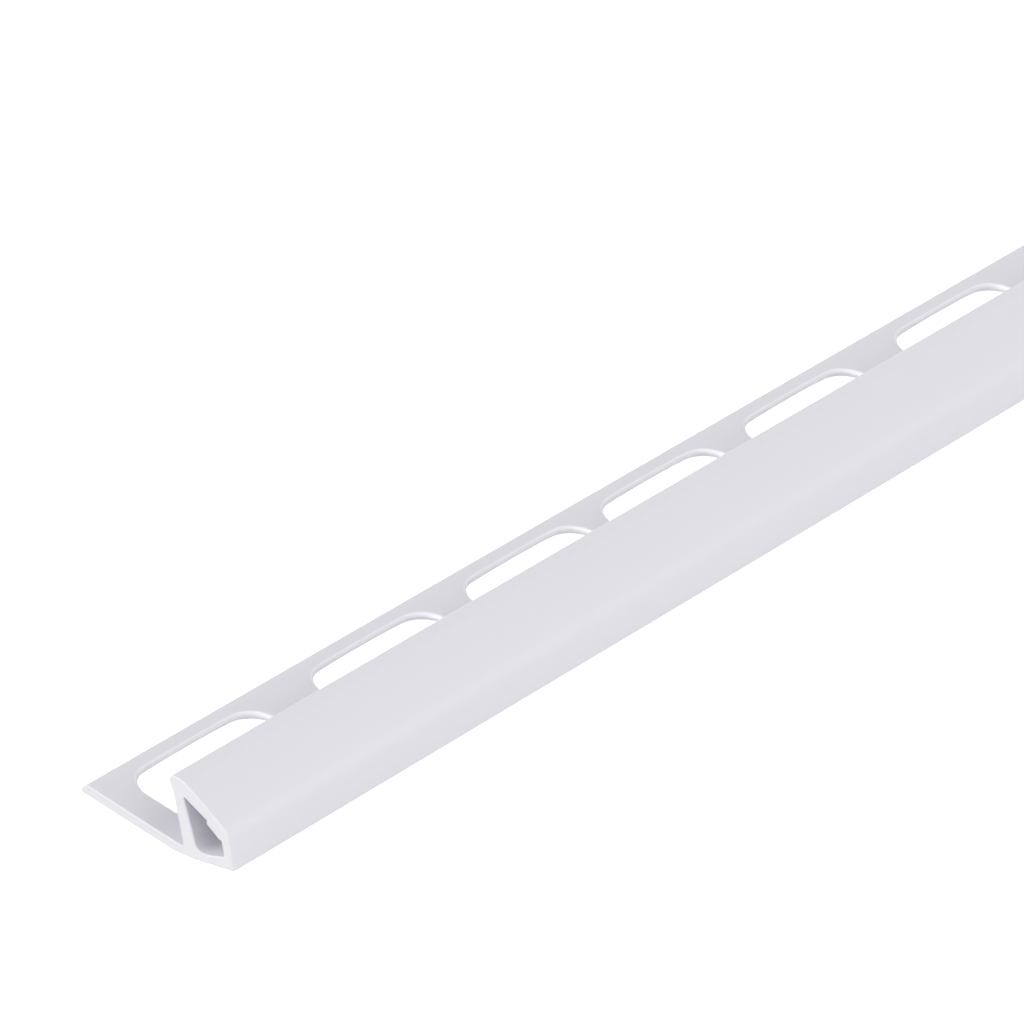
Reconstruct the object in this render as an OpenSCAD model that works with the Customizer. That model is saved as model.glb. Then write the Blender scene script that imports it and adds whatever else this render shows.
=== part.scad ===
// Bullnose tile trim: one length of extruded rigid PVC, in millimetres.
// The length runs along X. The rounded nose looks to -Y and the slotted leg reaches to +Y.
// The trim lies unheld: it rests on the land between the nose's underside and the leg, rocked back a little.

/* [Stock] */
// Length of the trim
trim_len = 1830; // [300:5:3050]

/* [Nose] */
// Height of the nose, from its underside to the top of the lip
nose_h = 10; // [8:0.5:15]
// Radius of the rounded lip that covers the tile's edge
lip_r = 0.6; // [0.4:0.05:0.8]
// How far the lip stands out past the web, over the tile
lip_over = 0.27; // [0.1:0.01:0.6]
// Height over which the web runs out to the lip
flare_h = 1.5; // [1.2:0.1:2.4]
// Radius of the short curve next to the lip
brow_r = 3.4; // [2.6:0.1:5]
// Turn of that curve, in degrees
brow_turn = 35.5; // [28:0.5:42]
// Radius of the long, nearly flat face of the nose
face_r = 50; // [40:1:90]
// Turn of that face, in degrees
face_turn = 7.3; // [5:0.1:8]
// Radius of the shoulder, where the face turns down
shoulder_r = 3.2; // [2.6:0.1:4]
// Turn of the shoulder, in degrees
shoulder_turn = 41; // [36:0.5:44]
// Radius of the front below the shoulder
front_r = 60; // [40:1:90]

/* [Walls] */
// Thickness of the curved outer wall
shell_t = 1.35; // [1:0.05:1.7]
// Thickness of the wall below the chamber
floor_t = 1.15; // [0.9:0.05:1.5]
// Distance from the heel to where the chamber's floor starts to rise
floor_flat = 3.5; // [3:0.1:4.5]
// Rise of the chamber's floor from there to the front, in degrees
floor_rise = 9; // [0:0.5:12]
// Width of the web, measured along the underside
web_foot = 2.1; // [1.7:0.05:2.6]
// Lean of the web's tile side over the leg, in degrees
web_lean = 7.2; // [4:0.1:9]
// Lean of the web's chamber side, in degrees
chamber_lean = 11.7; // [9:0.1:13]
// Radius in the chamber's lower back corner
chamber_r = 1.2; // [0.3:0.05:1.4]
// Rise of the chamber's roof from the pad towards the lip, in degrees
roof_rise = 34.5; // [33:0.5:37]
// How far the stiffening pad stands out from the inside of the curved wall
pad_r = 0.44; // [0.2:0.01:0.5]
// Distance from the brow to the pad, along the inside of the face
pad_from = 4.8; // [3.5:0.1:5]
// Length of the pad along the wall
pad_len = 2.0; // [1:0.1:2.4]

/* [Leg] */
// Thickness of the leg
leg_t = 1.3; // [1:0.05:1.8]
// Reach of the leg, from the heel to the tip
leg_reach = 15.3; // [14:0.1:30]
// Rise of the leg from the nose's underside, in degrees
leg_rise = 16.4; // [8:0.1:20]
// Distance from the heel forward to the land, the narrow flat below the heel that the trim lies on
land_start = 1.4; // [0.6:0.1:2]
// Width of the land
land_w = 2.9; // [2:0.1:3.4]
// Rise of the land from the nose's underside, in degrees
land_rise = 5.2; // [3:0.1:8]
// Radius of the leg's tip
tip_r = 0.4; // [0.3:0.02:0.5]
// Slope of the bevel on the tip's upper edge, in degrees
tip_bevel = 35; // [25:1:50]
// Fillet between the leg and the web
heel_r = 0.3; // [0.15:0.05:0.6]

/* [Slots] */
// Length of each slot, along the trim
slot_l = 23; // [15:0.5:40]
// Width of each slot, across the leg
slot_w = 9.5; // [8.6:0.1:10.6]
// Corner radius of a slot on its tip side
slot_tip_r = 3.5; // [1.5:0.1:4.5]
// Corner radius of a slot on its heel side
slot_heel_r = 1.5; // [0.5:0.1:3]
// Strip left between the slots and the leg's tip
tip_strip = 2.25; // [1.5:0.05:3]
// Plain length before the first slot, and the least one after the last
end_margin = 4.4; // [2:0.1:30]
// Widths of the bridges between the slots, in order, repeated along the trim
bridges = [8.1, 5.2, 3.2, 5.2, 8.2]; // [2:0.1:30]

/* [Hidden] */
$fn = 180;
pvc_white = [0.87, 0.87, 0.90];
// How far a chord may stray from the arc it stands for, where an arc of the section is traced
chord_gap = 0.002;
// How far a slot's cutter runs past each face of the leg
slot_over = 1.5;

// An outline is traced with its inside on the left. An arc is [radius, turn], where a turn to the
// right is negative, and it carries on from a start point and a heading without a kink.
function aim(angle) = [cos(angle), sin(angle)];
function left_of(angle) = [-sin(angle), cos(angle)];
function arc_mid(start, heading, arc) = start + sign(arc[1]) * arc[0] * left_of(heading);
function arc_at(start, heading, arc, turned) =
    arc_mid(start, heading, arc) - sign(arc[1]) * arc[0] * left_of(heading + turned);
function chords(arc) = ceil(abs(arc[1]) / (2 * acos(1 - chord_gap / arc[0])));

// A chain of such arcs: the heading and the point where arc n starts, and all points along the chain
function heading_at(heading, arcs, n) = n == 0 ? heading : heading_at(heading, arcs, n - 1) + arcs[n - 1][1];
function joint_at(start, heading, arcs, n) =
    n == 0 ? start
    : arc_at(
        joint_at(start, heading, arcs, n - 1),
        heading_at(heading, arcs, n - 1),
        arcs[n - 1],
        arcs[n - 1][1]
    );
function traced(start, heading, arcs) = concat([start], [
    for (n = [0:len(arcs) - 1], step = [1:chords(arcs[n])])
        arc_at(
            joint_at(start, heading, arcs, n),
            heading_at(heading, arcs, n),
            arcs[n],
            arcs[n][1] * step / chords(arcs[n])
        )
]);

// The points of a fillet in a corner that is reached at one heading and left at the other
function fillet(corner, from, to, r) =
    traced(corner - r * tan(abs(to - from) / 2) * aim(from), from, [[r, to - from]]);

// The lip, on the web's tile side. That side runs straight up from the heel, at the origin.
web_slope = tan(web_lean);
lip_z = nose_h - lip_r;
lip_mid = [lip_z * web_slope + lip_over - lip_r, lip_z];
flare_low = [(lip_z - flare_h) * web_slope, lip_z - flare_h];
flare_run = lip_mid - flare_low;
flare_turn = atan2(flare_run[1], flare_run[0]) - asin(lip_r / norm(flare_run));
flare_top = lip_mid - lip_r * left_of(flare_turn);

// The nose's outside, from the top of the lip to the front corner on the underside
lip_top = [lip_mid[0], nose_h];
face_arcs = [[brow_r, brow_turn], [face_r, face_turn], [shoulder_r, shoulder_turn]];
front_heading = heading_at(180, face_arcs, len(face_arcs));
front_mid = arc_mid(joint_at(lip_top, 180, face_arcs, len(face_arcs)), front_heading, [front_r, 1]);
nose_arcs = concat(face_arcs, [[front_r, 360 - acos(front_mid[1] / front_r) - front_heading]]);
nose_points = traced(lip_top, 180, nose_arcs);
front_corner = nose_points[len(nose_points) - 1];

// The leg carries on from the end of the land, at a steeper rise, and runs straight to its tip
leg_slope = tan(leg_rise);
land_front = [-land_start, 0];
land_back = land_front + land_w * aim(land_rise);
under_z = land_back[1] - land_back[0] * leg_slope;
top_z = under_z + leg_t / cos(leg_rise);
tip_mid = [leg_reach - tip_r, under_z + (leg_reach - tip_r) * leg_slope + tip_r / cos(leg_rise)];
tip_points = traced(tip_mid - tip_r * left_of(leg_rise), leg_rise, [[tip_r, 180 - tip_bevel - leg_rise]]);
bevel_slope = tan(tip_bevel);
bevel_low = tip_points[len(tip_points) - 1];
bevel_y = (bevel_low[1] + bevel_low[0] * bevel_slope - top_z) / (leg_slope + bevel_slope);
heel_z = top_z / (1 - web_slope * leg_slope);
heel = [heel_z * web_slope, heel_z];

// The chamber's curved side keeps the wall's thickness inside the nose's arcs. The pad is centred on it.
inner_top = lip_top - [0, shell_t];
inner_arcs = [for (arc = nose_arcs) [arc[0] - shell_t, arc[1]]];
pad_heading = heading_at(180, inner_arcs, 1);
function pad_at(along) = arc_at(
    joint_at(inner_top, 180, inner_arcs, 1), pad_heading, inner_arcs[1], along / inner_arcs[1][0] * 180 / PI
);

// The chamber's straight sides: the floor and its rise to the front, the web's side and the roof
chamber_slope = tan(chamber_lean);
chamber_back = [floor_t * chamber_slope - web_foot, floor_t];
front_rise = (-floor_flat - front_corner[0]) * tan(floor_rise);
roof_low = pad_at(pad_from);
roof_slope = tan(roof_rise);
apex_z = (roof_low[1] - (web_foot + roof_low[0]) * roof_slope) / (1 - chamber_slope * roof_slope);
roof_top = [apex_z * chamber_slope - web_foot, apex_z];
roof_front = [front_corner[0], roof_low[1] + (front_corner[0] - roof_low[0]) * roof_slope];

// The slots, in the leg's own plane. What is left of the tip's strip sets their far side.
slot_far = tip_mid * aim(leg_rise) + tip_r - tip_strip;
slot_near = slot_far - slot_w;
leg_under = under_z * cos(leg_rise);
function bridge_sum(n) = n == 0 ? 0 : bridge_sum(n - 1) + bridges[(n - 1) % len(bridges)];
function slot_start(n) = end_margin + n * slot_l + bridge_sum(n);
slot_starts = [
    for (n = [0:floor(trim_len / slot_l)])
        if (slot_start(n) + slot_l + end_margin <= trim_len) slot_start(n)
];

// Rocked back, the trim has its land flat on the floor. Its box then runs from the nose to the tip.
function rocked_y(point) = (point - land_front) * aim(land_rise);
front_y = min([for (point = nose_points) rocked_y(point)]);
tip_y = max([for (point = tip_points) rocked_y(point)]);

// The whole outside: the land, the tip and its bevel, the heel, the web's tile side, the lip, the nose
module outside() {
    polygon(concat(
        [land_front, land_back],
        tip_points,
        [[bevel_y, top_z + bevel_y * leg_slope]],
        fillet(heel, 180 + leg_rise, 90 - web_lean, heel_r),
        [flare_low],
        traced(flare_top, flare_turn, [[lip_r, 180 - flare_turn]]),
        [for (n = [1:len(nose_points) - 1]) nose_points[n]]
    ));
}

// The chamber: a drop with its point at the top, between the web, the floor and the curved wall
module chamber() {
    difference() {
        intersection() {
            polygon(concat(traced(inner_top, 180, inner_arcs), [[inner_top[0], 0]]));
            polygon(concat(
                [[-floor_flat, floor_t]],
                fillet(chamber_back, 0, 90 - chamber_lean, chamber_r),
                [roof_top, roof_front, [front_corner[0], floor_t + front_rise]]
            ));
        }
        pad();
    }
}

// The pad inside the curved wall: a low bead with round ends
module pad() {
    half_pad = pad_len / 2;
    run = pad_at(pad_from + pad_len) - pad_at(pad_from);
    translate((pad_at(pad_from) + pad_at(pad_from + pad_len)) / 2)
        rotate(atan2(run[1], run[0]))
            polygon(concat(
                traced([half_pad, -pad_r], 0, [[pad_r, 180]]),
                traced([-half_pad, pad_r], 180, [[pad_r, 180]])
            ));
}

// A slot as seen square on to the leg, from its heel side up: wide corners next to the tip
module slot_outline() {
    translate([slot_heel_r, 0]) square([slot_l - 2 * slot_heel_r, slot_w - slot_tip_r]);
    translate([0, slot_heel_r]) square([slot_l, slot_w - slot_heel_r - slot_tip_r]);
    translate([slot_tip_r, slot_w - 2 * slot_tip_r]) square([slot_l - 2 * slot_tip_r, 2 * slot_tip_r]);
    for (x = [slot_heel_r, slot_l - slot_heel_r]) translate([x, slot_heel_r]) circle(slot_heel_r);
    for (x = [slot_tip_r, slot_l - slot_tip_r]) translate([x, slot_w - slot_tip_r]) circle(slot_tip_r);
}

// The punched slots, cut square through the leg
module slots() {
    rotate([leg_rise, 0, 0])
        for (start = slot_starts)
            translate([start, slot_near, leg_under - slot_over])
                linear_extrude(leg_t + 2 * slot_over) slot_outline();
}

// The trim as it lies on the floor, with the middle of its box over the origin
module trim() {
    color(pvc_white)
        translate([-trim_len / 2, -(front_y + tip_y) / 2, 0])
            rotate([-land_rise, 0, 0])
                translate([0, land_start, 0])
                    difference() {
                        rotate([90, 0, 90])
                            linear_extrude(trim_len)
                                difference() {
                                    outside();
                                    chamber();
                                }
                        slots();
                    }
}

trim();
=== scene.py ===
import math

import bmesh
import bpy
from mathutils import Matrix, Vector


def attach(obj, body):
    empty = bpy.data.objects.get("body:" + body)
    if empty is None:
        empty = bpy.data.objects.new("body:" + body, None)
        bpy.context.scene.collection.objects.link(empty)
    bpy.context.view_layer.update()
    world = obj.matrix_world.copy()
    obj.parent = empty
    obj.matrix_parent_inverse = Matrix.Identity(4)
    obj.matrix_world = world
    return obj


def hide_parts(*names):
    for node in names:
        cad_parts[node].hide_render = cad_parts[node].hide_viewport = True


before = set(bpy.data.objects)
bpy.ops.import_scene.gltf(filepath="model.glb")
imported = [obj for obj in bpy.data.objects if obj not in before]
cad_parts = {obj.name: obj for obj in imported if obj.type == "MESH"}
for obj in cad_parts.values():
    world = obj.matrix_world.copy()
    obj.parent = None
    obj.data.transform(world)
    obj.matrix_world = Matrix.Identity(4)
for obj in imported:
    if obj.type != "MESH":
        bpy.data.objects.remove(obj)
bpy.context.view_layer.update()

# The trim is one rigid white PVC extrusion: a hollow rounded nose with a lip that covers the tile's
# edge, an upright web, and a flat leg that is bedded behind the tile. Its section is drawn upright,
# in millimetres: Y runs from the heel towards the leg's tip, and Z up from the nose's underside.
NOSE_H, LIP_R, LIP_OVER, FLARE_H, FLARE_R = 10.0, 0.6, 0.27, 1.5, 3.0
WEB_LEAN, HEEL_R = 7.2, 0.3
LAND_START, LAND_W, LAND_RISE, LAND_EDGE_R = 1.4, 2.9, 5.2, 2.5
LEG_T, LEG_REACH, LEG_RISE = 1.3, 15.3, 16.4
TIP_R, TIP_BEVEL, BEVEL_EDGE_R = 0.4, 35.0, 0.35

# the nose's arcs down from the lip, each a radius and the turn along it, and the front wall below
BROW, FACE, SHOULDER = (3.4, 35.5), (50.0, 7.3), (3.2, 41.0)
FRONT_R, FRONT_EDGE_R = 60.0, 0.3

# how many degrees of an arc one straight step may take: few where the arc is wide, more where tight
ARC_STEP, WIDE_STEP, TIGHT_STEP, FEWEST_STEPS = 3.0, 0.9, 9.0, 2
LAND_STEP, FLARE_STEP, LIP_STEP = 1.9, 4.0, 8.0


def aim(degrees):
    """A unit vector at this heading in the section's plane."""
    return Vector((0, math.cos(math.radians(degrees)), math.sin(math.radians(degrees))))


def left_of(degrees):
    """The unit vector square to this heading, on its left."""
    return aim(degrees + 90)


def slope(degrees):
    return math.tan(math.radians(degrees))


def heading_of(run):
    return math.degrees(math.atan2(run.z, run.y))


def turn_between(heading_in, heading_out):
    """The shorter turn from one heading to the other, positive to the left."""
    return (heading_out - heading_in + 180) % 360 - 180


def point(y, z):
    return Vector((0, y, z))


def draw_to(bm, pen, *places):
    """Extrudes the pen's vertex along straight runs, and returns the last one."""
    for place in places:
        tip = bmesh.ops.extrude_vert_indiv(bm, verts=[pen])["verts"][0]
        bmesh.ops.translate(bm, verts=[tip], vec=place - tip.co)
        pen = tip
    return pen


def turn_about(bm, pen, mid, degrees, step=ARC_STEP):
    """Spins the pen's vertex about a middle, to the left if degrees is positive."""
    steps = max(FEWEST_STEPS, math.ceil(abs(degrees) / step))
    angle = math.radians(degrees)
    spun = bmesh.ops.spin(bm, geom=[pen], cent=mid, axis=(1, 0, 0), angle=angle, steps=steps)
    return spun["geom_last"][0]


def round_corner(bm, pen, corner, heading_in, heading_out, radius, step=TIGHT_STEP):
    """Draws up to a corner and round it, without a kink at either end."""
    turn = turn_between(heading_in, heading_out)
    pen = draw_to(bm, pen, corner - radius * abs(slope(turn / 2)) * aim(heading_in))
    mid = pen.co + math.copysign(radius, turn) * left_of(heading_in)
    return turn_about(bm, pen, mid, turn, step)


# the lip and the web's tile side
lip_mid = point((NOSE_H - LIP_R) * slope(WEB_LEAN) + LIP_OVER - LIP_R, NOSE_H - LIP_R)
flare_low = point((lip_mid.z - FLARE_H) * slope(WEB_LEAN), lip_mid.z - FLARE_H)
flare_run = lip_mid - flare_low
flare_heading = heading_of(flare_run) - math.degrees(math.asin(LIP_R / flare_run.length))

# the middles of the nose's arcs and the headings where they meet, from the lip down to the floor
arc_mids, arc_headings, arc_start = [], [180.0], lip_mid + point(0, LIP_R)
for radius, turn in (BROW, FACE, SHOULDER):
    arc_mids.append(arc_start + radius * left_of(arc_headings[-1]))
    arc_headings.append(arc_headings[-1] + turn)
    arc_start = arc_mids[-1] - radius * left_of(arc_headings[-1])
front_mid = arc_start + FRONT_R * left_of(arc_headings[-1])
front_end = 360 - math.degrees(math.acos(front_mid.z / FRONT_R))
front_corner = front_mid - FRONT_R * left_of(front_end)
front_trim = math.degrees(FRONT_EDGE_R * slope((360 - front_end) / 2) / FRONT_R)

# the land that the trim lies on, and the leg with its rounded, bevelled tip
land_front = point(-LAND_START, 0)
land_back = land_front + LAND_W * aim(LAND_RISE)
leg_under = land_back.dot(left_of(LEG_RISE))
leg_top = leg_under + LEG_T
under_z = leg_under / math.cos(math.radians(LEG_RISE))
top_z = leg_top / math.cos(math.radians(LEG_RISE))
tip_mid = point(LEG_REACH - TIP_R, 0)
tip_mid.z = under_z + tip_mid.y * slope(LEG_RISE) + TIP_R / math.cos(math.radians(LEG_RISE))
bevel_low = tip_mid + TIP_R * left_of(-TIP_BEVEL)
bevel_fall = slope(LEG_RISE) + slope(TIP_BEVEL)
bevel_top = point((bevel_low.z + bevel_low.y * slope(TIP_BEVEL) - top_z) / bevel_fall, 0)
bevel_top.z = top_z + bevel_top.y * slope(LEG_RISE)
heel = point(0, top_z / (1 - slope(WEB_LEAN) * slope(LEG_RISE)))
heel.y = heel.z * slope(WEB_LEAN)

# where the slots' panels will lie across the leg
SLOT_W, TIP_STRIP, PANEL_HEEL, PANEL_TIP = 9.5, 2.25, 1.2, 0.85
slot_far = tip_mid.dot(aim(LEG_RISE)) + TIP_R - TIP_STRIP
slot_near = slot_far - SLOT_W
panel_near, panel_far = slot_near - PANEL_HEEL, slot_far + PANEL_TIP


def on_leg(across, height):
    """A point of the section from its place along the leg and square to it."""
    return across * aim(LEG_RISE) + height * left_of(LEG_RISE)


# the outer outline, anticlockwise from the middle of the nose's underside
trim = bmesh.new()
under_start = trim.verts.new(point(front_corner.y / 2, 0))
pen = round_corner(trim, under_start, land_front, 0, LAND_RISE, LAND_EDGE_R, LAND_STEP)
pen = round_corner(trim, pen, land_back, LAND_RISE, LEG_RISE, LAND_EDGE_R, LAND_STEP)
pen = draw_to(trim, pen, on_leg(panel_near, leg_under), on_leg(panel_far, leg_under))
pen = draw_to(trim, pen, tip_mid - TIP_R * left_of(LEG_RISE))
pen = turn_about(trim, pen, tip_mid, 180 - TIP_BEVEL - LEG_RISE, TIGHT_STEP)
pen = round_corner(trim, pen, bevel_top, 180 - TIP_BEVEL, 180 + LEG_RISE, BEVEL_EDGE_R)
pen = draw_to(trim, pen, on_leg(panel_far, leg_top), on_leg(panel_near, leg_top))
pen = round_corner(trim, pen, heel, 180 + LEG_RISE, 90 - WEB_LEAN, HEEL_R)
pen = round_corner(trim, pen, flare_low, 90 - WEB_LEAN, flare_heading, FLARE_R, FLARE_STEP)
pen = draw_to(trim, pen, lip_mid - LIP_R * left_of(flare_heading))
pen = turn_about(trim, pen, lip_mid, 180 - flare_heading, LIP_STEP)
pen = turn_about(trim, pen, arc_mids[0], BROW[1])
pen = turn_about(trim, pen, arc_mids[1], FACE[1], WIDE_STEP)
pen = turn_about(trim, pen, arc_mids[2], SHOULDER[1])
pen = turn_about(trim, pen, front_mid, front_end - front_trim - arc_headings[-1], WIDE_STEP)
edge_mid = pen.co + FRONT_EDGE_R * left_of(front_end - front_trim)
pen = turn_about(trim, pen, edge_mid, 360 - front_end + front_trim, TIGHT_STEP)
draw_to(trim, pen, under_start.co)

# The nose is hollow along its whole length. The die's core leaves an even wall, a rising floor, a
# slanting roof behind the lip, and a thicker pad down the inside of the curved wall.
SHELL_T, FLOOR_T, FLOOR_FLAT, FLOOR_RISE = 1.35, 1.15, 3.5, 9.0
WEB_FOOT, CHAMBER_LEAN, CHAMBER_R, APEX_R = 2.1, 11.7, 1.2, 0.12
ROOF_RISE, PAD_R, PAD_FROM, PAD_LEN = 34.5, 0.44, 4.8, 2.0
CHAMBER_STEP, APEX_STEP, PAD_STEP = 6.0, 18.0, 10.0

face_in, shoulder_in, front_in = FACE[0] - SHELL_T, SHOULDER[0] - SHELL_T, FRONT_R - SHELL_T
pad_runs = PAD_FROM, PAD_FROM + PAD_LEN
pad_headings = [arc_headings[1] + math.degrees(run / face_in) for run in pad_runs]
pad_top, pad_low = [arc_mids[1] - face_in * left_of(heading) for heading in pad_headings]
pad_heading = heading_of(pad_low - pad_top)
chamber_back = point(FLOOR_T * slope(CHAMBER_LEAN) - WEB_FOOT, FLOOR_T)
apex = point(0, pad_top.z - (WEB_FOOT + pad_top.y) * slope(ROOF_RISE))
apex.z /= 1 - slope(CHAMBER_LEAN) * slope(ROOF_RISE)
apex.y = apex.z * slope(CHAMBER_LEAN) - WEB_FOOT

# the pad's lower end meets the inside of the shoulder where two circles cross
between = arc_mids[2] - pad_low
reach = (between.length_squared + PAD_R**2 - shoulder_in**2) / (2 * between.length)
pad_foot = pad_low + reach * between.normalized()
pad_foot -= math.sqrt(PAD_R**2 - reach**2) * left_of(heading_of(between))
foot_heading = heading_of(pad_foot - arc_mids[2]) + 90

# the front wall's inside meets the rising floor where a line crosses a circle
floor_edge, floor_aim = point(-FLOOR_FLAT, FLOOR_T), aim(180 - FLOOR_RISE)
to_edge = floor_edge - front_mid
ahead = to_edge.dot(floor_aim)
along = math.sqrt(ahead**2 - to_edge.length_squared + front_in**2) - ahead
pocket = floor_edge + along * floor_aim
pocket_heading = heading_of(pocket - front_mid) + 90

# the chamber's outline, from its floor round by the web, the roof, the pad and the curved wall
chamber_start = trim.verts.new(floor_edge)
web_heading = 90 - CHAMBER_LEAN
pen = round_corner(trim, chamber_start, chamber_back, 0, web_heading, CHAMBER_R, CHAMBER_STEP)
pen = round_corner(trim, pen, apex, web_heading, 180 + ROOF_RISE, APEX_R, APEX_STEP)
pen = draw_to(trim, pen, pad_top + PAD_R * aim(ROOF_RISE))
pad_turn = turn_between(ROOF_RISE, heading_of(left_of(pad_heading)))
pen = turn_about(trim, pen, pad_top, pad_turn, PAD_STEP)
pen = draw_to(trim, pen, pad_low + PAD_R * left_of(pad_heading))
pad_turn = turn_between(heading_of(left_of(pad_heading)), heading_of(pad_foot - pad_low))
pen = turn_about(trim, pen, pad_low, pad_turn, PAD_STEP)
pen = turn_about(trim, pen, arc_mids[2], turn_between(foot_heading, arc_headings[-1]))
front_turn = turn_between(arc_headings[-1], pocket_heading)
pen = turn_about(trim, pen, front_mid, front_turn, WIDE_STEP)
draw_to(trim, pen, floor_edge)
WELD = 0.004
bmesh.ops.remove_doubles(trim, verts=trim.verts, dist=WELD)

# The slots are punched through the leg once it has cooled, so that adhesive keys through them. They
# come in groups of uneven pitch, each wider-cornered next to the tip. The punch draws the top edge
# down a little and goes in straight, and the plastic breaks out wider underneath, most at mid-span.
TRIM_LEN, END_MARGIN, BRIDGES = 1830.0, 4.4, (8.1, 5.2, 3.2, 5.2, 8.2)
SLOT_L, SLOT_TIP_R, SLOT_HEEL_R, PANEL_ENDS = 23.0, 3.5, 1.5, 1.1
MOUTH_TIP, MOUTH_END, MOUTH_BOW = 0.48, 0.6, 0.1
BREAK_SIDES, BREAK_ENDS, BREAK_BOW = 0.34, 0.75, 0.18
RIM_TOP, RIM_UNDER, RIM_LAND, RIM_FOLD = 0.4, 0.08, 0.95, 1.0
BOW_STEPS, TIP_CORNER_STEPS, HEEL_CORNER_STEPS, RIM_TOP_STEPS, RIM_UNDER_STEPS = 7, 9, 6, 5, 2

# the trim's finishes are numbered: the drawn skin is 0, and the slots' walls and rims, whose paler
# colour is painted light, are this
PUNCHED = 1

slot_starts, next_start = [], END_MARGIN
while next_start + SLOT_L + END_MARGIN <= TRIM_LEN:
    slot_starts.append(next_start)
    next_start = next_start + SLOT_L + BRIDGES[(len(slot_starts) - 1) % len(BRIDGES)]


def of_kind(kind, geom):
    """The vertices, edges or faces among the things that an operator returns."""
    return [thing for thing in geom if isinstance(thing, kind)]


# the section is extruded in steps, which end where each slot's panel starts and ends
stations, here = [], 0.0
for start in slot_starts:
    stations += [start - PANEL_ENDS, start + SLOT_L + PANEL_ENDS]
edges, panel_faces, panel_mid = trim.edges[:], [], (panel_near + panel_far) / 2
for number, station in enumerate(stations + [TRIM_LEN]):
    drawn = bmesh.ops.extrude_edge_only(trim, edges=edges)["geom"]
    drawn_verts = of_kind(bmesh.types.BMVert, drawn)
    bmesh.ops.translate(trim, verts=drawn_verts, vec=(station - here, 0, 0))
    edges = of_kind(bmesh.types.BMEdge, drawn)
    edges = [e for e in edges if all(abs(v.co.x - station) < WELD for v in e.verts)]
    if number % 2:
        for face in of_kind(bmesh.types.BMFace, drawn):
            across = face.calc_center_median().dot(aim(LEG_RISE))
            if abs(across - panel_mid) < WELD:
                panel_faces.append(face)
    here = station
bmesh.ops.delete(trim, geom=panel_faces, context="FACES_ONLY")


def plate_on_leg(bm, start, end, near, far):
    """Stretches a square of side 1 to a flat plate on the leg, and returns its face."""
    corners = bmesh.ops.create_grid(bm, x_segments=1, y_segments=1, size=1 / 2)["verts"]
    bmesh.ops.scale(bm, verts=corners, vec=(end - start, far - near, 1))
    middle = (start + end) / 2, (near + far) / 2, leg_top
    bmesh.ops.translate(bm, verts=corners, vec=middle)
    return corners[0].link_faces[0]


def bow_at(vert):
    """How much of a slot's bow is reached here: 1 at mid-span, 0 at its ends."""
    return max(0.0, 1 - (2 * vert.co.x / (SLOT_L - MOUTH_END) - 1) ** 2)


# the upper half of one slot in its panel: a flat land round the rim, and the wall down into the leg
slot = bmesh.new()
leg_mid = (leg_top + leg_under) / 2
panel = plate_on_leg(slot, -PANEL_ENDS, SLOT_L + PANEL_ENDS, panel_near, panel_far)
panel_edges = panel.edges[:]
bmesh.ops.delete(slot, geom=[panel], context="FACES_ONLY")
land_end, land_far = SLOT_L - MOUTH_END + RIM_LAND, slot_far - MOUTH_TIP + RIM_LAND
blank = plate_on_leg(slot, -RIM_LAND, land_end, slot_near - RIM_LAND, land_far)
tip_side = [v for v in blank.verts if v.co.y > slot_far]
heel_side = [v for v in blank.verts if v.co.y < slot_near]
for corners, radius, steps in (
    (tip_side, SLOT_TIP_R, TIP_CORNER_STEPS),
    (heel_side, SLOT_HEEL_R, HEEL_CORNER_STEPS),
):
    bmesh.ops.bevel(
        slot,
        geom=corners,
        offset=radius + RIM_LAND,
        affect="VERTICES",
        segments=steps,
        profile=0.5,
        material=-1,
    )
blank = max(slot.faces, key=lambda f: len(f.verts))
tip_run = max(blank.edges, key=lambda e: sum(v.co.y for v in e.verts))
cuts = bmesh.ops.subdivide_edges(slot, edges=[tip_run], cuts=BOW_STEPS)["geom_inner"]
for vert in of_kind(bmesh.types.BMVert, cuts):
    vert.co.y += MOUTH_BOW * bow_at(vert)
outlines = panel_edges + blank.edges[:]
bmesh.ops.triangle_fill(slot, edges=outlines, use_beauty=True, normal=(0, 0, 1))
bmesh.ops.inset_individual(slot, faces=[blank], thickness=RIM_LAND, use_even_offset=True)
blank = bmesh.ops.extrude_discrete_faces(slot, faces=[blank])["faces"][0]
bmesh.ops.translate(slot, verts=blank.verts, vec=(0, 0, leg_mid - leg_top))
for edge in blank.edges:
    for face in edge.link_faces:
        face.material_index = PUNCHED
bmesh.ops.delete(slot, geom=[blank], context="FACES_ONLY")

# its lower half starts as the same and flares to the break-out, and the rims are rounded: the
# edges where faces meet at more than RIM_FOLD radians
upper_half, to_middle = slot.verts[:] + slot.edges[:] + slot.faces[:], Vector((0, 0, -leg_mid))
bmesh.ops.mirror(
    slot, geom=upper_half, matrix=Matrix.Translation(to_middle), axis="Z", merge_dist=WELD
)
rims = [e for e in slot.edges if e.is_manifold and e.calc_face_angle() > RIM_FOLD]
top_rim = [e for e in rims if e.verts[0].co.z > leg_mid]
under_rim = [e for e in rims if e.verts[0].co.z < leg_mid]
under_verts = {v for e in under_rim for v in e.verts}
for vert in under_verts:
    beside = [e.other_vert(vert) for e in vert.link_edges]
    level = [v for v in beside if abs(v.co.z - vert.co.z) < WELD]
    land_vert = next(v for v in level if v not in under_verts)
    outward = (land_vert.co - vert.co) / RIM_LAND
    sideways = BREAK_SIDES + BREAK_BOW * bow_at(vert)
    vert.co += Vector((BREAK_ENDS * outward.x, sideways * outward.y, 0))
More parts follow.
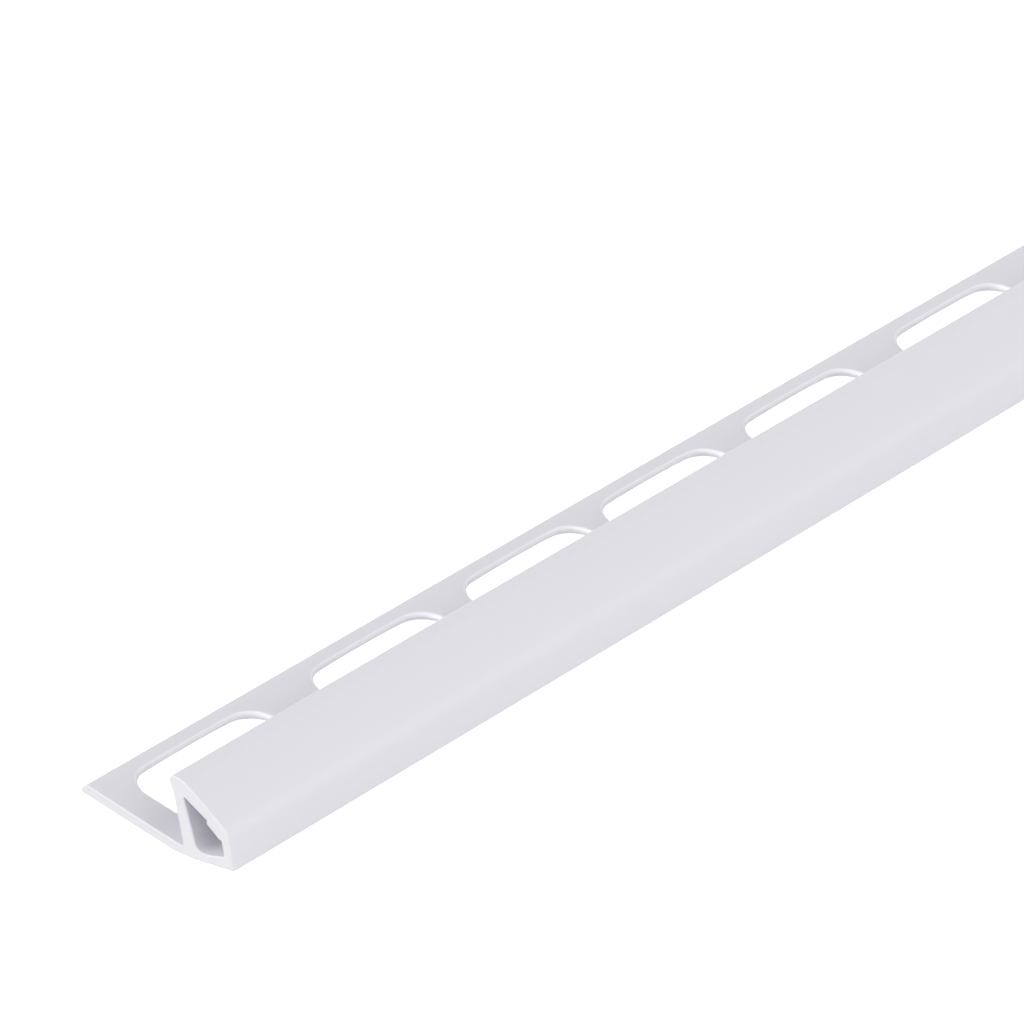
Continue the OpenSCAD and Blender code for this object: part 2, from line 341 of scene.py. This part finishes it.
for rim, size, steps in (
    (top_rim, RIM_TOP, RIM_TOP_STEPS),
    (under_rim, RIM_UNDER, RIM_UNDER_STEPS),
):
    rounding = bmesh.ops.bevel(
        slot, geom=rim, offset=size, affect="EDGES", segments=steps, profile=0.5, material=-1
    )
    for face in rounding["faces"]:
        face.material_index = PUNCHED
to_leg = Matrix.Rotation(math.radians(LEG_RISE), 3, "X")
bmesh.ops.rotate(slot, verts=slot.verts, cent=(0, 0, 0), matrix=to_leg)

# the same punch makes every slot along the trim
for start in slot_starts:
    punched = bpy.data.meshes.new("punched_slot")
    bmesh.ops.translate(slot, verts=slot.verts, vec=(start, 0, 0))
    slot.to_mesh(punched)
    bmesh.ops.translate(slot, verts=slot.verts, vec=(-start, 0, 0))
    trim.from_mesh(punched)
    bpy.data.meshes.remove(punched)
slot.free()

# Both ends are sawn square across, and the arris that the saw leaves is lightly dressed all round,
# outside and in the chamber's mouth. The sawn finish is the third, and it reaches to the middle of
# the dressed edge; its colour is darkened as painted shade.
ARRIS, ARRIS_LAND, ARRIS_STEPS, SAWN = 0.18, 0.26, 4, 2

for place in (0.0, TRIM_LEN):
    mouth = [e for e in trim.edges if all(abs(v.co.x - place) < WELD for v in e.verts)]
    cut = bmesh.ops.triangle_fill(trim, edges=mouth, use_beauty=True, normal=(1, 0, 0))["geom"]
    cut_faces = of_kind(bmesh.types.BMFace, cut)
    bmesh.ops.recalc_face_normals(trim, faces=trim.faces)
    land = bmesh.ops.inset_region(
        trim, faces=cut_faces, thickness=ARRIS_LAND, use_boundary=True, use_even_offset=True
    )["faces"]
    for face in cut_faces + land:
        face.material_index = SAWN
    bmesh.ops.bevel(
        trim,
        geom=mouth,
        offset=ARRIS,
        affect="EDGES",
        segments=ARRIS_STEPS,
        profile=0.5,
        material=-1,
    )

bmesh.ops.remove_doubles(trim, verts=trim.verts, dist=WELD)
bmesh.ops.recalc_face_normals(trim, faces=trim.faces)

# it lies unheld on its land, with the middle of its box over the origin, and is scaled to metres
METRES = 0.001
rest_mid = ((front_corner + tip_mid) / 2 - land_front).dot(aim(LAND_RISE)) + TIP_R / 2
bmesh.ops.translate(trim, verts=trim.verts, vec=-land_front)
to_rest = Matrix.Rotation(math.radians(-LAND_RISE), 3, "X")
bmesh.ops.rotate(trim, verts=trim.verts, cent=(0, 0, 0), matrix=to_rest)
bmesh.ops.translate(trim, verts=trim.verts, vec=(-TRIM_LEN / 2, -rest_mid, 0))
bmesh.ops.scale(trim, verts=trim.verts, vec=(METRES, METRES, METRES))

trim_mesh = bpy.data.meshes.new("bullnose_trim")
trim.to_mesh(trim_mesh)
trim.free()
trim_mesh.shade_smooth()
bullnose_trim = bpy.data.objects.new("bullnose_trim", trim_mesh)
bpy.context.collection.objects.link(bullnose_trim)
even_shading = bullnose_trim.modifiers.new("even_shading", "WEIGHTED_NORMAL")
even_shading.keep_sharp = True

# White PVC, smooth from the die, with faint draw lines along its length. The same plastic shows in
# the slots' walls, which are a little rougher, and at the ends, which are rougher still. The walls'
# colour is paler than the skin's, as painted light, and the ends' colour is darker, as painted
# shade. Each finish has its name, in the order that the faces are numbered in.
PVC_IOR = 1.53
CLOUD, CLOUD_DETAIL, GRAIN_DETAIL = (9.0, 60.0, 60.0), 3.0, 2.0

# a grain is given by its fineness per metre along X, Y and Z, and its depth in metres
FINISHES = {
    "extruded_pvc": {
        "pale": (0.78, 0.774, 0.828, 1),
        "deep": (0.764, 0.758, 0.812, 1),
        "roughness": 0.42,
        "spread": 0.06,
        "grain": (6.0, 2600.0, 2600.0),
        "depth": 2e-6,
    },
    # paler than the skin's colour: painted light on the slots' walls and rims
    "punched_pvc_painted_light": {
        "pale": (0.92, 0.913, 0.955, 1),
        "deep": (0.9, 0.893, 0.936, 1),
        "roughness": 0.42,
        "spread": 0.08,
        "grain": (1500.0, 1500.0, 300.0),
        "depth": 6e-6,
    },
    # darker than the skin's colour: painted shade on the sawn ends
    "sawn_pvc_painted_shade": {
        "pale": (0.635, 0.63, 0.655, 1),
        "deep": (0.617, 0.612, 0.637, 1),
        "roughness": 0.5,
        "spread": 0.1,
        "grain": (900.0, 3400.0, 900.0),
        "depth": 1e-5,
    },
}


def pvc_finish(name, pale, deep, roughness, spread, grain, depth):
    """White PVC in pale and deeper clouds, with a fine grain in its gloss and its relief."""
    finish = bpy.data.materials.new(name)
    finish.use_nodes = True
    nodes, links = finish.node_tree.nodes, finish.node_tree.links
    shader = nodes["Principled BSDF"]
    shader.inputs["IOR"].default_value = PVC_IOR
    place = nodes.new("ShaderNodeTexCoord")

    def noise(scale, detail):
        fit = nodes.new("ShaderNodeMapping")
        fit.inputs["Scale"].default_value = scale
        links.new(place.outputs["Object"], fit.inputs["Vector"])
        pattern = nodes.new("ShaderNodeTexNoise")
        pattern.inputs["Scale"].default_value = 1.0
        pattern.inputs["Detail"].default_value = detail
        links.new(fit.outputs["Vector"], pattern.inputs["Vector"])
        return pattern.outputs["Fac"]

    cloud, lines = noise(CLOUD, CLOUD_DETAIL), noise(grain, GRAIN_DETAIL)
    tint = nodes.new("ShaderNodeMix")
    tint.data_type = "RGBA"
    tint.inputs["A"].default_value, tint.inputs["B"].default_value = pale, deep
    links.new(cloud, tint.inputs["Factor"])
    links.new(tint.outputs["Result"], shader.inputs["Base Color"])
    dull = nodes.new("ShaderNodeMapRange")
    dull.inputs["To Min"].default_value = roughness - spread
    dull.inputs["To Max"].default_value = roughness + spread
    links.new(lines, dull.inputs["Value"])
    links.new(dull.outputs["Result"], shader.inputs["Roughness"])
    relief = nodes.new("ShaderNodeBump")
    relief.inputs["Distance"].default_value = depth
    links.new(lines, relief.inputs["Height"])
    links.new(relief.outputs["Normal"], shader.inputs["Normal"])
    return finish


for name, look in FINISHES.items():
    trim_mesh.materials.append(pvc_finish(name, **look))
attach(bullnose_trim, "root")
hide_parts("trim")

# The floor is plain white, and it and the sky are lifted to pure white where the camera sees them.
# The trim is lit by an even sky and three broad lamps: a low one beyond the cut end, and two at the
# front. Each lamp is given by its azimuth, its elevation and its strength.
FLOOR_SIZE, FLOOR_LIFT, SKY, LAMP_SPREAD = 12.0, 0.7, 0.275, 65.0
FLOOR_WHITE, SKY_WHITE = (0.8, 0.8, 0.8, 1), (1, 1, 1, 1)
LAMPS = {
    "end_lamp": (-120.0, 15.0, 3.0),
    "left_lamp": (-60.0, 35.0, 0.64),
    "right_lamp": (20.0, 35.0, 1.3),
}


def where_seen(nodes, links, lift, base):
    """A strength of base, with lift added for the camera, a reflection or a clear piece."""
    rays = nodes.new("ShaderNodeLightPath")
    seen = rays.outputs["Is Camera Ray"]
    for kind in ("Is Glossy Ray", "Is Transmission Ray"):
        either = nodes.new("ShaderNodeMath")
        either.operation = "MAXIMUM"
        links.new(seen, either.inputs[0])
        links.new(rays.outputs[kind], either.inputs[1])
        seen = either.outputs[0]
    strength = nodes.new("ShaderNodeMath")
    strength.operation = "MULTIPLY_ADD"
    strength.inputs[1].default_value, strength.inputs[2].default_value = lift, base
    links.new(seen, strength.inputs[0])
    return strength.outputs[0]


floor_mesh = bpy.data.meshes.new("floor")
floor_sheet = bmesh.new()
bmesh.ops.create_grid(floor_sheet, x_segments=1, y_segments=1, size=FLOOR_SIZE / 2)
floor_sheet.to_mesh(floor_mesh)
floor_sheet.free()
floor = bpy.data.objects.new("floor", floor_mesh)
bpy.context.collection.objects.link(floor)
floor_paint = bpy.data.materials.new("white_floor")
floor_paint.use_nodes = True
nodes, links = floor_paint.node_tree.nodes, floor_paint.node_tree.links
nodes.remove(nodes["Principled BSDF"])
matt, lift = nodes.new("ShaderNodeBsdfDiffuse"), nodes.new("ShaderNodeEmission")
both = nodes.new("ShaderNodeAddShader")
matt.inputs["Color"].default_value = FLOOR_WHITE
links.new(where_seen(nodes, links, FLOOR_LIFT, 0.0), lift.inputs["Strength"])
links.new(matt.outputs[0], both.inputs[0])
links.new(lift.outputs[0], both.inputs[1])
links.new(both.outputs[0], nodes["Material Output"].inputs["Surface"])
floor_mesh.materials.append(floor_paint)

sky = bpy.data.worlds.new("sky")
bpy.context.scene.world = sky
sky.use_nodes = True
nodes, links = sky.node_tree.nodes, sky.node_tree.links
nodes["Background"].inputs["Color"].default_value = SKY_WHITE
links.new(where_seen(nodes, links, 1.0 - SKY, SKY), nodes["Background"].inputs["Strength"])

for name, (azimuth, elevation, strength) in LAMPS.items():
    lamp_data = bpy.data.lights.new(name, "SUN")
    lamp_data.angle, lamp_data.energy = math.radians(LAMP_SPREAD), strength
    lamp = bpy.data.objects.new(name, lamp_data)
    lamp.rotation_euler = (math.radians(90 - elevation), 0, math.radians(azimuth))
    bpy.context.collection.objects.link(lamp)

# A long lens looks down along the trim from the front of its cut end, at the photo's angle. Its
# angles are how far it looks down from level, and how far it is turned from looking along Y.
SENSOR, LENS, CLIP_START = 36.0, 299.53, 0.05
CAMERA_PLACE, LOOK_DOWN, CAMERA_TURN = (-1.54134, -0.55721, 0.47877), 27.523, -51.084

camera_data = bpy.data.cameras.new("camera")
camera_data.sensor_width, camera_data.lens, camera_data.clip_start = SENSOR, LENS, CLIP_START
camera = bpy.data.objects.new("camera", camera_data)
camera.location = CAMERA_PLACE
camera.rotation_euler = (math.radians(90 - LOOK_DOWN), 0, math.radians(CAMERA_TURN))
bpy.context.collection.objects.link(camera)
bpy.context.scene.camera = camera
bpy.context.scene.view_settings.view_transform = "Standard"
